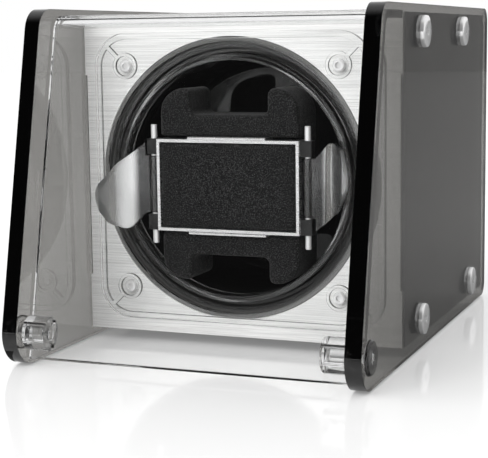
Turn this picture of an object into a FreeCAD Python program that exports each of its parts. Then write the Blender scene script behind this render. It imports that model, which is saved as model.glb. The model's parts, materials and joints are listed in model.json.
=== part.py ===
import FreeCAD, Part
import math
import os

# Watch winder box with smoked side panels, a hinged clear cover and one rotor.
# Millimetres. +X right, +Y to the back, +Z up. The origin is on the table, under the middle of the footprint.

# Side panels
panel_top_margin = 3.0
panel_back_margin = 4.0
panel_thickness = 6.0
front_lean = 12.25
panel_foot_radius = 12.0
panel_top_radius = 9.0
panel_back_radius = 6.0

# Disc-head screws that hold the panels to the box
disc_radius = 6.0
disc_height = 1.7
disc_bevel = 0.6
disc_shank_radius = 2.0
disc_shank_grip = 7.0
disc_socket_width = 2.5
disc_socket_depth = 1.1
disc_edge_distance = 7.0
front_screw_setback = 22.8
upper_rear_screw_setback = 89.0
lower_rear_screw_setback = 109.0

# Box behind the front plate
plate_setback = 59.0
plate_thickness = 2.0
plate_side_gap = 0.5
plate_notch_depth = 0.75
plate_notch_half = 39.5
box_side_gap = 1.2
box_foot_gap = 0.2
box_head_gap = 1.2
box_wall = 3.0
screw_boss_radius = 4.5
rear_recess = 10.0
rear_cover_thickness = 2.5
rear_cover_gap = 0.3
rear_post_radius = 5.0
rear_post_length = 22.0
rear_post_inset = 4.0
rear_screw_grip = 8.0
vent_slot_length = 30.0
vent_slot_height = 2.4
vent_slot_pitch = 5.5
vent_slot_count = 5
vent_drop = 31.0

# Clear bezel on the plate
axis_height = 65.0
bezel_border = 3.6
bezel_corner_radius = 13.0
bezel_base = 1.5
bezel_rim_height = 1.5
bezel_rim_width = 2.4
bezel_screw_inset = 12.6
bezel_boss_radius = 5.0
bezel_boss_wall = 1.2
bezel_rib_width = 1.6
bezel_screw_grip = 4.5
button_radius = 2.4
button_height = 1.5
button_shank_radius = 1.5
button_socket_width = 2.0
button_socket_depth = 0.9

# Well and rotor
well_gap = 0.2
collar_inner_step = 1.7
collar_outer_step = 2.5
collar_lip = 1.8
collar_step_depth = 2.5
collar_tail = 7.0
collar_flange_width = 4.0
collar_flange_thickness = 2.0
rotor_lip = 2.3
rotor_gap = 0.5
rotor_wall = 1.8
rotor_front = 6.0
rotor_depth = 47.0
rotor_floor = 3.0
rotor_hub_radius = 10.0
rotor_hub_length = 7.0
ring_proud = 0.2
ring_forward = 1.0
peg_width = 14.0
peg_length = 11.0

# Drive
fit_gap = 0.05
shaft_radius = 4.0
bulkhead_setback = 60.0
bulkhead_thickness = 3.0
bearing_radius = 8.0
bearing_width = 4.0
bearing_hub_radius = 12.0
bearing_hub_overhang = 5.0
gear_module = 1.0
gear_teeth = 60
pinion_teeth = 15
tooth_rise = 0.9
tooth_drop = 1.25
tooth_root_half = 0.95
tooth_tip_half = 0.35
gear_width = 6.0
gear_gap = 1.5
gear_web = 2.4
gear_rim = 4.0
gear_hub_radius = 8.0
mesh_backlash = 0.25
clip_radius = 6.5
clip_thickness = 1.0
motor_radius = 12.0
motor_length = 30.0
motor_rear_gap = 11.5
motor_boss_radius = 3.6
motor_boss_height = 2.6
motor_shaft_radius = 1.5
bracket_thickness = 3.0
bracket_width = 48.0
bracket_height = 36.0
bracket_gap = 3.5
bracket_post_radius = 3.0
bracket_post_spread = 19.0
motor_screw_radius = 1.4
motor_screw_head_radius = 2.4
motor_screw_head_height = 1.6
motor_screw_spread = 8.0
motor_screw_grip = 4.0

# Electrics at the back
board_width = 70.0
board_height = 50.0
board_thickness = 1.6
board_rise = 20.0
board_standoff = 14.0
spacer_radius = 3.0
spacer_inset = 5.0
chip_width = 14.0
chip_height = 10.0
chip_thickness = 2.0
selector_radius = 8.5
selector_length = 7.0
knob_radius = 8.0
knob_length = 8.0
knob_flute_count = 18
knob_edge_distance = 15.0
knob_shaft_radius = 3.0
knob_gap = 0.8
slider_edge_distance = 15.0
slider_width = 4.0
slider_height = 3.6
slider_reach = 2.5
slider_travel = 2.0
slider_gap = 0.3
switch_width = 14.0
switch_height = 8.0
switch_depth = 6.0
jack_drop = 13.0
jack_flange_radius = 6.0
jack_flange_thickness = 1.2
jack_barrel_radius = 4.5
jack_barrel_length = 12.0
jack_bore_radius = 2.8
jack_bore_depth = 9.0
jack_pin_radius = 1.0

# Clear front cover and its hinge
cover_thickness = 3.0
cover_inset = 9.48
cover_bottom = 2.4
cover_top_rise = 0.6
cover_bend_radius = 7.0
cover_side_gap = 0.5
cover_rear_gap = 0.6
hinge_setback = 9.0
hinge_height = 12.0
hinge_nose_radius = 2.5
hinge_nose_length = 7.0
hinge_barrel_radius = 4.0
hinge_head_radius = 6.25
hinge_head_height = 1.5
hinge_socket_width = 4.0
hinge_socket_depth = 1.2
lug_radius = 6.25
lug_length = 9.0

# Watch holder
holder_drop = 2.2
block_width = 57.5
block_height = 35.2
block_depth = 8.5
block_forward = 6.0
frame_wall = 1.2
frame_back = 1.6
pad_gap = 0.2
pad_edge_radius = 1.4
bar_height = 1.0
bar_forward = 0.5
cushion_side_inset = 0.75
cushion_height = 73.6
cushion_depth = 22.0
cushion_forward = 4.0
cushion_corner_radius = 9.5
cushion_ring_gap = 0.68
cushion_leg_radius = 2.5
cushion_edge_radius = 1.2
pocket_gap = 0.1
cushion_leg_width = 12.3
strap_notch_depth = 10.0
base_width = 26.0
base_floor_gap = 0.4
socket_gap = 0.1
wing_pin_radius = 1.2
wing_side_gap = 0.35
wing_pin_inset = 3.5
wing_pin_half = 23.0
wing_knuckle_wall = 0.9
wing_knuckle_half = 11.0
wing_ear_gap = 0.6
wing_thickness = 2.2
wing_curl_radius = 19.2
wing_curl_angle = 74.0
wing_heel_gap = 0.3
wing_heel_height = -16.0
wing_waist_reach = 13.4
wing_waist_height = -8.0
wing_waist_radius = 10.0
wing_tip_reach = 19.6
wing_tip_height = 3.0
wing_tip_radius = 6.0
wing_crest_reach = 15.6
wing_crest_height = 15.0
wing_crest_radius = 3.5
wing_shoulder_reach = 9.9
wing_shoulder_height = 17.8
wing_shoulder_radius = 3.0

# Places worked out from the sizes above
cushion_width = block_width - 2 * cushion_side_inset
strap_notch_width = cushion_width - 2 * cushion_leg_width
bar_length = strap_notch_width
corner_x = cushion_width / 2 - cushion_corner_radius
corner_z = cushion_height / 2 - cushion_corner_radius + holder_drop
ring_inner_radius = math.hypot(corner_x, corner_z) + cushion_corner_radius + cushion_ring_gap
rotor_radius = ring_inner_radius + rotor_lip
ring_outer_radius = rotor_radius + ring_proud
collar_bore_radius = rotor_radius + rotor_gap
collar_middle_radius = collar_bore_radius + collar_inner_step
bezel_hole_radius = collar_middle_radius + collar_outer_step
well_radius = bezel_hole_radius + collar_lip
bezel_width = 2 * (bezel_hole_radius + bezel_border)
bezel_screw_spacing = bezel_width - 2 * bezel_screw_inset
flange_radius = well_radius + collar_flange_width
box_bottom = axis_height - flange_radius - box_foot_gap - box_wall
box_top = axis_height + flange_radius + box_head_gap + box_wall
panel_height = box_top + panel_top_margin
inner_x = flange_radius + box_side_gap + box_wall
outer_x = inner_x + panel_thickness
bracket_setback = (bulkhead_setback + bulkhead_thickness + bearing_hub_overhang + gear_gap + gear_width
                   + bracket_gap)
rear_cover_setback = bracket_setback + bracket_thickness + motor_length + motor_rear_gap
box_setback = rear_cover_setback + rear_cover_thickness + rear_recess
panel_depth = plate_setback + box_setback + panel_back_margin
front_y = -panel_depth / 2
back_y = panel_depth / 2
plate_y = front_y + plate_setback
plate_back_y = plate_y + plate_thickness
box_back_y = plate_y + box_setback
rear_cover_y = plate_y + rear_cover_setback
rear_face_y = rear_cover_y + rear_cover_thickness
box_inner_x = inner_x - box_wall
box_floor = box_bottom + box_wall
box_ceiling = box_top - box_wall
upper_screw_height = box_top - disc_edge_distance
lower_screw_height = box_bottom + disc_edge_distance
vent_height = axis_height - vent_drop
jack_height = axis_height - jack_drop
board_center_height = axis_height + board_rise
knob_offset = board_width / 2 - knob_edge_distance
slider_offset = board_width / 2 - slider_edge_distance
cover_top = box_top + cover_top_rise
hinge_y = front_y + hinge_setback
lean = math.radians(front_lean)
foot_y = front_y + panel_foot_radius * (1 - math.tan(lean) - 1 / math.cos(lean))
bezel_y = plate_y - bezel_base
bezel_lip_y = bezel_y - bezel_rim_height
holder_z = axis_height - holder_drop
block_y = plate_y - block_forward
block_back_y = block_y + block_depth
cushion_y = plate_y - cushion_forward
cushion_back_y = cushion_y + cushion_depth
rotor_front_y = plate_y + rotor_front
rotor_back_y = plate_y + rotor_depth
rotor_floor_y = rotor_back_y - rotor_floor
bulkhead_y = plate_y + bulkhead_setback
bulkhead_back_y = bulkhead_y + bulkhead_thickness
hub_front_y = bulkhead_y - bearing_hub_overhang
hub_back_y = bulkhead_back_y + bearing_hub_overhang
gear_y = hub_back_y + gear_gap
gear_back_y = gear_y + gear_width
bracket_y = plate_y + bracket_setback
bracket_back_y = bracket_y + bracket_thickness
mesh_distance = gear_module * (gear_teeth + pinion_teeth) / 2 + mesh_backlash
motor_z = axis_height - mesh_distance
board_y = rear_cover_y - board_standoff - board_thickness
board_back_y = board_y + board_thickness
wing_knuckle_radius = wing_pin_radius + wing_knuckle_wall
wing_pin_x = block_width / 2 + wing_knuckle_radius + wing_side_gap
wing_pin_y = block_y + wing_pin_inset
wing_heel_reach = wing_knuckle_radius * math.sqrt(2) + wing_heel_gap
panel_screw_places = [
    (plate_y + front_screw_setback, upper_screw_height),
    (plate_y + upper_rear_screw_setback, upper_screw_height),
    (plate_y + front_screw_setback, lower_screw_height),
    (plate_y + lower_rear_screw_setback, lower_screw_height),
]
bezel_screw_places = [
    (sx * bezel_screw_spacing / 2, axis_height + sz * bezel_screw_spacing / 2)
    for sx in (-1, 1) for sz in (-1, 1)
]
rear_post_x = box_inner_x - rear_post_inset
rear_post_places = [
    (sx * rear_post_x, z)
    for sx in (-1, 1) for z in (box_floor + rear_post_inset, box_ceiling - rear_post_inset)
]

X_AXIS = FreeCAD.Vector(1, 0, 0)
Y_AXIS = FreeCAD.Vector(0, 1, 0)
Z_AXIS = FreeCAD.Vector(0, 0, 1)


def at(x, y, z):
    return FreeCAD.Vector(x, y, z)


def block(x0, x1, y0, y1, z0, z1):
    return Part.makeBox(x1 - x0, y1 - y0, z1 - z0, at(x0, y0, z0))


def rod_x(x0, x1, y, z, radius):
    return Part.makeCylinder(radius, x1 - x0, at(x0, y, z), X_AXIS)


def rod_y(y0, y1, x, z, radius):
    return Part.makeCylinder(radius, y1 - y0, at(x, y0, z), Y_AXIS)


def rod_z(z0, z1, x, y, radius):
    return Part.makeCylinder(radius, z1 - z0, at(x, y, z0), Z_AXIS)


def tube_y(y0, y1, x, z, outer, inner):
    return rod_y(y0, y1, x, z, outer).cut(rod_y(y0, y1, x, z, inner))


def square_bar(y0, y1, width):
    """Square bar along Y, centred on the holder."""
    half = width / 2
    return block(-half, half, y0, y1, holder_z - half, holder_z + half)


def hex_prism(center, axis, width, length):
    corner = width / math.sqrt(3)
    flat = Part.makePolygon([
        at(corner * math.cos(k * math.pi / 3), corner * math.sin(k * math.pi / 3), 0) for k in range(7)
    ])
    prism = Part.Face(flat).extrude(at(0, 0, length))
    prism.Placement = FreeCAD.Placement(center, FreeCAD.Rotation(Z_AXIS, axis))
    return prism


def rounded_face(corners, to_space):
    """Flat face from (u, v, radius) corners, each rounded by an arc of its own radius."""
    edges = []
    last_end = None
    first_start = None
    count = len(corners)
    for k, (u, v, radius) in enumerate(corners):
        corner = at(u, v, 0)
        before = at(corners[k - 1][0], corners[k - 1][1], 0) - corner
        after = at(corners[(k + 1) % count][0], corners[(k + 1) % count][1], 0) - corner
        before.normalize()
        after.normalize()
        half = before.getAngle(after) / 2
        start = corner
        end = corner
        if radius > 0:
            middle = before + after
            middle.normalize()
            crest = corner + middle * (radius / math.sin(half) - radius)
            start = corner + before * (radius / math.tan(half))
            end = corner + after * (radius / math.tan(half))
        if last_end is None:
            first_start = start
        else:
            edges.append(Part.LineSegment(to_space(last_end), to_space(start)).toShape())
        if radius > 0:
            edges.append(Part.Arc(to_space(start), to_space(crest), to_space(end)).toShape())
        last_end = end
    edges.append(Part.LineSegment(to_space(last_end), to_space(first_start)).toShape())
    return Part.Face(Part.Wire(edges))


def side_profile(corners, x0, x1):
    """Prism along X from corners given as (y, z, radius)."""
    return rounded_face(corners, lambda p: at(x0, p.x, p.y)).extrude(at(x1 - x0, 0, 0))


def front_profile(corners, y0, y1):
    """Prism along Y from corners given as (x, z, radius)."""
    return rounded_face(corners, lambda p: at(p.x, y0, p.y)).extrude(at(0, y1 - y0, 0))


def rounded_square(y0, y1, width, radius):
    half = width / 2
    low = axis_height - half
    high = axis_height + half
    corners = [(-half, low, radius), (half, low, radius), (half, high, radius), (-half, high, radius)]
    return front_profile(corners, y0, y1)


def export(node, *solids):
    shape = solids[0] if len(solids) == 1 else Part.makeCompound(list(solids))
    shape.exportStep("parts/" + node + ".step")


def side_name(side):
    return "right" if side > 0 else "left"


def span(side, near, far):
    """Low and high X of a stretch from near to far on one side of the middle."""
    return (near, far) if side > 0 else (-far, -near)


def side_panel(side):
    top_y = foot_y + panel_height * math.tan(lean)
    corners = [
        (foot_y, 0, panel_foot_radius),
        (back_y, 0, panel_back_radius),
        (back_y, panel_height, panel_back_radius),
        (top_y, panel_height, panel_top_radius),
    ]
    x0, x1 = span(side, inner_x, outer_x)
    bores = [rod_x(x0, x1, y, z, disc_shank_radius + fit_gap) for y, z in panel_screw_places]
    bores.append(rod_x(x0, x1, hinge_y, hinge_height, hinge_barrel_radius + fit_gap))
    return side_profile(corners, x0, x1).cut(bores)


def socket_head(seat, facing, radius, height, bevel, socket_width, socket_depth):
    """Screw head with a bevelled edge and a hex socket, sitting at seat."""
    drum = Part.makeCylinder(radius, height - bevel, seat, facing)
    crown = Part.makeCone(radius, radius - bevel, bevel, seat + facing * (height - bevel), facing)
    socket = hex_prism(seat + facing * (height - socket_depth), facing, socket_width, socket_depth)
    return drum.fuse(crown).removeSplitter().cut(socket)


def disc_screw(side, y, z):
    outward = X_AXIS * side
    seat = at(side * outer_x, y, z)
    head = socket_head(seat, outward, disc_radius, disc_height, disc_bevel, disc_socket_width, disc_socket_depth)
    shank = Part.makeCylinder(disc_shank_radius, panel_thickness + disc_shank_grip, seat, outward * -1)
    return head.fuse(shank)


def button_screw(x, y, z, facing, grip):
    seat = at(x, y, z)
    head = socket_head(seat, facing, button_radius, button_height, button_height / 2, button_socket_width,
                       button_socket_depth)
    return head.fuse(Part.makeCylinder(button_shank_radius, grip, seat, facing * -1))


def body_shell():
    outside = block(-inner_x, inner_x, plate_back_y, box_back_y, box_bottom, box_top)
    shell = outside.cut(block(-box_inner_x, box_inner_x, plate_back_y, box_back_y, box_floor, box_ceiling))
    bosses = []
    bores = []
    for side in (-1, 1):
        x0, x1 = span(side, inner_x - disc_shank_grip - box_wall, inner_x)
        for y, z in panel_screw_places:
            bosses.append(rod_x(x0, x1, y, z, screw_boss_radius))
            bores.append(rod_x(x0, x1, y, z, disc_shank_radius + fit_gap))
    for x, z in rear_post_places:
        bosses.append(rod_y(rear_cover_y - rear_post_length, rear_cover_y, x, z, rear_post_radius))
        bores.append(rod_y(rear_cover_y - rear_screw_grip, rear_cover_y, x, z, button_shank_radius + fit_gap))
    return shell.fuse(bosses).cut(bores).common(outside)


def rear_cover():
    x = box_inner_x - rear_cover_gap
    cover = block(-x, x, rear_cover_y, rear_face_y, box_floor + rear_cover_gap, box_ceiling - rear_cover_gap)
    cuts = [rod_y(rear_cover_y, rear_face_y, px, pz, button_shank_radius + fit_gap) for px, pz in rear_post_places]
    cuts.append(rod_y(rear_cover_y, rear_face_y, -knob_offset, board_center_height, knob_shaft_radius + knob_gap))
    cuts.append(slider_slot(rear_cover_y, rear_face_y))
    cuts.append(rod_y(rear_cover_y, rear_face_y, 0, jack_height, jack_barrel_radius + fit_gap))
    half = vent_slot_length / 2
    for k in range(vent_slot_count):
        low = vent_height - (k - (vent_slot_count - 1) / 2) * vent_slot_pitch - vent_slot_height / 2
        cuts.append(block(-half, half, rear_cover_y, rear_face_y, low, low + vent_slot_height))
    return cover.cut(cuts)


def slider_slot(y0, y1):
    x = slider_width / 2 + slider_travel + slider_gap
    z = slider_height / 2 + slider_gap
    return block(slider_offset - x, slider_offset + x, y0, y1, board_center_height - z, board_center_height + z)


def front_plate():
    x = inner_x - plate_side_gap
    plate = block(-x, x, plate_y, plate_back_y, box_bottom, box_top)
    cuts = [rod_y(plate_y, plate_back_y, 0, axis_height, well_radius + well_gap)]
    for side in (-1, 1):
        x0, x1 = span(side, x - plate_notch_depth, x)
        cuts.append(block(x0, x1, plate_y, plate_back_y, axis_height - plate_notch_half,
                          axis_height + plate_notch_half))
    for px, pz in bezel_screw_places:
        cuts.append(rod_y(plate_y, plate_back_y, px, pz, button_shank_radius + fit_gap))
    return plate.cut(cuts)


def clear_bezel():
    base = rounded_square(bezel_y, plate_y, bezel_width, bezel_corner_radius)
    rim = rounded_square(bezel_lip_y, bezel_y, bezel_width, bezel_corner_radius)
    rim = rim.cut(rounded_square(bezel_lip_y, bezel_y, bezel_width - 2 * bezel_rim_width,
                                 bezel_corner_radius - bezel_rim_width))
    parts = [rim]
    bores = [rod_y(bezel_y, plate_y, 0, axis_height, bezel_hole_radius)]
    corner = bezel_width / 2 - bezel_corner_radius * (1 - math.sqrt(0.5)) - bezel_rim_width / 2
    reach = (corner - bezel_screw_spacing / 2) * math.sqrt(2)
    for px, pz in bezel_screw_places:
        parts.append(rod_y(bezel_lip_y, bezel_y, px, pz, bezel_boss_radius))
        bores.append(rod_y(bezel_lip_y, bezel_y, px, pz, bezel_boss_radius - bezel_boss_wall))
        bores.append(rod_y(bezel_y, plate_y, px, pz, button_shank_radius + fit_gap))
        rib = block(0, reach, bezel_lip_y, bezel_y, -bezel_rib_width / 2, bezel_rib_width / 2)
        rib.rotate(at(0, 0, 0), Y_AXIS, -math.degrees(math.atan2(pz - axis_height, px)))
        rib.translate(at(px, 0, pz))
        parts.append(rib)
    return base.fuse(parts).cut(bores).removeSplitter()


def well_collar():
    first_step = plate_y + collar_step_depth
    second_step = first_step + collar_step_depth
    tail = second_step + collar_tail
    flange = rod_y(plate_back_y, plate_back_y + collar_flange_thickness, 0, axis_height, flange_radius)
    collar = rod_y(plate_y, tail, 0, axis_height, well_radius).fuse(flange)
    return collar.cut([
        rod_y(plate_y, first_step, 0, axis_height, bezel_hole_radius),
        rod_y(plate_y, second_step, 0, axis_height, collar_middle_radius),
        rod_y(plate_y, tail, 0, axis_height, collar_bore_radius),
    ])


def rotor_cup():
    cup = rod_y(rotor_front_y, rotor_back_y, 0, axis_height, rotor_radius)
    hub = rod_y(rotor_back_y, rotor_back_y + rotor_hub_length, 0, axis_height, rotor_hub_radius)
    hollow = rod_y(rotor_front_y, rotor_floor_y, 0, axis_height, rotor_radius - rotor_wall)
    bore = rod_y(rotor_back_y, rotor_back_y + rotor_hub_length, 0, axis_height, shaft_radius + fit_gap)
    return cup.fuse(hub).cut([hollow, bore])


def rotor_ring():
    return tube_y(plate_y - ring_forward, rotor_front_y, 0, axis_height, ring_outer_radius, ring_inner_radius)


def rotor_shaft():
    return rod_y(rotor_back_y, gear_back_y + clip_thickness + gear_gap, 0, axis_height, shaft_radius)


def bulkhead():
    wall = block(-box_inner_x, box_inner_x, bulkhead_y, bulkhead_back_y, box_floor, box_ceiling)
    hub = rod_y(hub_front_y, hub_back_y, 0, axis_height, bearing_hub_radius)
    bore = rod_y(hub_front_y, hub_back_y, 0, axis_height, bearing_radius + fit_gap)
    return wall.fuse(hub).cut(bore)


def shaft_bushes():
    places = (hub_front_y, hub_back_y - bearing_width)
    return [tube_y(y, y + bearing_width, 0, axis_height, bearing_radius, shaft_radius + fit_gap) for y in places]


def toothed_disc(teeth, z, first_tooth):
    """Spur gear blank in the mesh plane, with one tooth centred on the angle first_tooth."""
    tip_radius = gear_module * (teeth / 2 + tooth_rise)
    root_radius = gear_module * (teeth / 2 - tooth_drop)
    root_turn = gear_module * tooth_root_half / root_radius
    tip_turn = gear_module * tooth_tip_half / tip_radius
    points = []
    for k in range(teeth):
        middle = first_tooth + 2 * math.pi * k / teeth
        for turn, radius in ((-root_turn, root_radius), (-tip_turn, tip_radius),
                             (tip_turn, tip_radius), (root_turn, root_radius)):
            points.append(at(radius * math.cos(middle + turn), gear_y, z + radius * math.sin(middle + turn)))
    points.append(points[0])
    return Part.Face(Part.makePolygon(points)).extrude(at(0, gear_width, 0))


def rotor_gear():
    gear = toothed_disc(gear_teeth, axis_height, -math.pi / 2)
    rim_radius = gear_module * gear_teeth / 2 - gear_rim
    pocket = tube_y(gear_y + gear_web, gear_back_y, 0, axis_height, rim_radius, gear_hub_radius)
    return gear.cut([pocket, rod_y(gear_y, gear_back_y, 0, axis_height, shaft_radius + fit_gap)])


def gear_clip():
    return tube_y(gear_back_y, gear_back_y + clip_thickness, 0, axis_height, clip_radius, shaft_radius + fit_gap)


def motor_pinion():
    half_pitch = math.pi / pinion_teeth
    shaft = rod_y(gear_y, bracket_back_y + motor_length / 2, 0, motor_z, motor_shaft_radius)
    return toothed_disc(pinion_teeth, motor_z, math.pi / 2 + half_pitch).fuse(shaft)


def motor_bracket():
    half = bracket_width / 2
    plate = block(-half, half, bracket_y, bracket_back_y, box_floor, box_floor + bracket_height)
    posts = [rod_y(bulkhead_back_y, bracket_y, x, motor_z, bracket_post_radius)
             for x in (-bracket_post_spread, bracket_post_spread)]
    cuts = [rod_y(bracket_y, bracket_back_y, 0, motor_z, motor_boss_radius + fit_gap)]
    for x in (-motor_screw_spread, motor_screw_spread):
        cuts.append(rod_y(bracket_y, bracket_back_y, x, motor_z, motor_screw_radius + fit_gap))
    return plate.fuse(posts).cut(cuts)


def motor():
    boss_y = bracket_back_y - motor_boss_height
    can = rod_y(bracket_back_y, bracket_back_y + motor_length, 0, motor_z, motor_radius)
    boss = rod_y(boss_y, bracket_back_y, 0, motor_z, motor_boss_radius)
    bores = [rod_y(bracket_back_y, bracket_back_y + motor_screw_grip, x, motor_z, motor_screw_radius + fit_gap)
             for x in (-motor_screw_spread, motor_screw_spread)]
    bores.append(rod_y(boss_y, bracket_back_y + motor_length / 2, 0, motor_z, motor_shaft_radius + fit_gap))
    return can.fuse(boss).cut(bores)


def motor_screws():
    screws = []
    for x in (-motor_screw_spread, motor_screw_spread):
        head = rod_y(bracket_y - motor_screw_head_height, bracket_y, x, motor_z, motor_screw_head_radius)
        shank = rod_y(bracket_y, bracket_back_y + motor_screw_grip, x, motor_z, motor_screw_radius)
        screws.append(head.fuse(shank))
    return screws


def control_board():
    low = board_center_height - board_height / 2
    board = block(-board_width / 2, board_width / 2, board_y, board_back_y, low, low + board_height)
    chip_low = board_center_height - chip_height / 2
    chip = block(-chip_width / 2, chip_width / 2, board_y - chip_thickness, board_y, chip_low,
                 chip_low + chip_height)
    return board.fuse(chip)


def selector_body():
    back = board_back_y + selector_length
    return tube_y(board_back_y, back, -knob_offset, board_center_height, selector_radius,
                  knob_shaft_radius + fit_gap)


def board_spacers():
    x = board_width / 2 - spacer_inset
    z = board_height / 2 - spacer_inset
    return [rod_y(board_back_y, rear_cover_y, sx * x, board_center_height + sz * z, spacer_radius)
            for sx in (-1, 1) for sz in (-1, 1)]


def turns_knob():
    x = -knob_offset
    z = board_center_height
    front = rear_face_y + knob_gap
    back = front + knob_length
    flute_radius = math.pi * knob_radius / knob_flute_count / 2
    cuts = []
    for k in range(knob_flute_count):
        turn = 2 * math.pi * k / knob_flute_count
        cuts.append(rod_y(front, back, x + knob_radius * math.cos(turn), z + knob_radius * math.sin(turn),
                          flute_radius))
    cuts.append(block(x - flute_radius / 2, x + flute_radius / 2, back - flute_radius, back,
                      z + knob_radius / 3, z + knob_radius))
    shaft = rod_y(board_back_y + fit_gap, front, x, z, knob_shaft_radius)
    return rod_y(front, back, x, z, knob_radius).cut(cuts).fuse(shaft)


def switch_housing():
    half = switch_width / 2
    low = board_center_height - switch_height / 2
    body = block(slider_offset - half, slider_offset + half, rear_cover_y - switch_depth, rear_cover_y, low,
                 low + switch_height)
    return body.cut(slider_slot(rear_cover_y - switch_depth / 2, rear_cover_y))


def direction_switch():
    x0 = slider_offset - slider_width / 2
    z0 = board_center_height - slider_height / 2
    front = rear_cover_y - switch_depth / 2 + slider_gap
    return block(x0, x0 + slider_width, front, rear_face_y + slider_reach, z0, z0 + slider_height)


def power_jack():
    mouth = rear_face_y + jack_flange_thickness
    flange = rod_y(rear_face_y, mouth, 0, jack_height, jack_flange_radius)
    barrel = rod_y(rear_face_y - jack_barrel_length, rear_face_y, 0, jack_height, jack_barrel_radius)
    bore = rod_y(mouth - jack_bore_depth, mouth, 0, jack_height, jack_bore_radius)
    pin = rod_y(mouth - jack_bore_depth, rear_face_y, 0, jack_height, jack_pin_radius)
    return flange.fuse(barrel).cut(bore).fuse(pin)


def front_cover():
    rise = math.tan(lean)
    face_y = foot_y + cover_inset / math.cos(lean)
    back_face_y = face_y + cover_thickness / math.cos(lean)
    ceiling = cover_top - cover_thickness
    rear = plate_y - cover_rear_gap
    corners = [
        (face_y + cover_bottom * rise, cover_bottom, 0),
        (back_face_y + cover_bottom * rise, cover_bottom, 0),
        (back_face_y + ceiling * rise, ceiling, cover_bend_radius - cover_thickness),
        (rear, ceiling, 0),
        (rear, cover_top, 0),
        (face_y + cover_top * rise, cover_top, cover_bend_radius),
    ]
    half = inner_x - cover_side_gap
    lugs = []
    bores = []
    for side in (-1, 1):
        x0, x1 = span(side, half - lug_length, half)
        lugs.append(rod_x(x0, x1, hinge_y, hinge_height, lug_radius))
        bores.append(rod_x(x0, x1, hinge_y, hinge_height, hinge_nose_radius + fit_gap))
    return side_profile(corners, -half, half).fuse(lugs).cut(bores)


def hinge_pin(side):
    outward = X_AXIS * side
    head = socket_head(at(side * outer_x, hinge_y, hinge_height), outward, hinge_head_radius, hinge_head_height,
                       disc_bevel, hinge_socket_width, hinge_socket_depth)
    x0, x1 = span(side, inner_x, outer_x)
    barrel = rod_x(x0, x1, hinge_y, hinge_height, hinge_barrel_radius)
    x0, x1 = span(side, inner_x - cover_side_gap - hinge_nose_length, inner_x)
    nose = rod_x(x0, x1, hinge_y, hinge_height, hinge_nose_radius)
    return head.fuse([barrel, nose])


def wing_ears(side):
    """Top and bottom ears of the holder frame that hold one wing pin."""
    x0, x1 = span(side, block_width / 2 - frame_wall, wing_pin_x + wing_knuckle_radius)
    near = wing_knuckle_half + wing_ear_gap
    far = block_height / 2
    y0 = wing_pin_y - wing_knuckle_radius
    y1 = wing_pin_y + wing_knuckle_radius
    return [block(x0, x1, y0, y1, holder_z + near, holder_z + far),
            block(x0, x1, y0, y1, holder_z - far, holder_z - near)]


def wing_pin(side, radius):
    return rod_z(holder_z - wing_pin_half, holder_z + wing_pin_half, side * wing_pin_x, wing_pin_y, radius)


def holder_frame():
    x = block_width / 2
    z = block_height / 2
    tray = block(-x, x, block_y, block_back_y, holder_z - z, holder_z + z)
    hollow = block(-x + frame_wall, x - frame_wall, block_y, block_back_y - frame_back,
                   holder_z - z + frame_wall, holder_z + z - frame_wall)
    frame = tray.fuse(wing_ears(-1) + wing_ears(1)).removeSplitter().cut(hollow)
    return frame.cut([wing_pin(side, wing_pin_radius + fit_gap) for side in (-1, 1)])


def front_pad():
    x = block_width / 2 - frame_wall - pad_gap
    z = block_height / 2 - frame_wall - pad_gap
    pad = block(-x, x, block_y, block_back_y - frame_back, holder_z - z, holder_z + z)
    front_edges = [edge for edge in pad.Edges if abs(edge.CenterOfMass.y - block_y) < pad_gap]
    return pad.makeFillet(pad_edge_radius, front_edges)


def strap_bars():
    half = bar_length / 2
    top = holder_z + block_height / 2
    low = holder_z - block_height / 2
    front = block_y - bar_forward
    return [block(-half, half, front, block_back_y, top, top + bar_height),
            block(-half, half, front, block_back_y, low - bar_height, low)]


def rear_cushion():
    x = cushion_width / 2
    z = cushion_height / 2
    notch_x = strap_notch_width / 2
    notch_z = z - strap_notch_depth
    half_outline = [
        (notch_x, -notch_z, cushion_leg_radius),
        (notch_x, -z, cushion_leg_radius),
        (x, -z, cushion_corner_radius),
        (x, z, cushion_corner_radius),
        (notch_x, z, cushion_leg_radius),
        (notch_x, notch_z, cushion_leg_radius),
    ]
    outline = half_outline + [(-u, -v, radius) for u, v, radius in half_outline]
    pad = front_profile([(u, holder_z + v, radius) for u, v, radius in outline], cushion_y, cushion_back_y)
    rims = [edge for edge in pad.Edges
            if min(abs(edge.CenterOfMass.y - cushion_y), abs(edge.CenterOfMass.y - cushion_back_y)) < pocket_gap]
    pad = pad.makeFillet(cushion_edge_radius, rims)
    pocket_z = block_height / 2 + bar_height + pocket_gap
    return pad.cut(block(-x, x, cushion_y, block_back_y, holder_z - pocket_z, holder_z + pocket_z))


def holder_peg():
    return square_bar(rotor_floor_y - peg_length, rotor_floor_y, peg_width)


def holder_base():
    back = rotor_floor_y - base_floor_gap
    base = square_bar(cushion_back_y, back, base_width)
    return base.cut(square_bar(rotor_floor_y - peg_length - base_floor_gap, back, peg_width + 2 * socket_gap))


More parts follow.
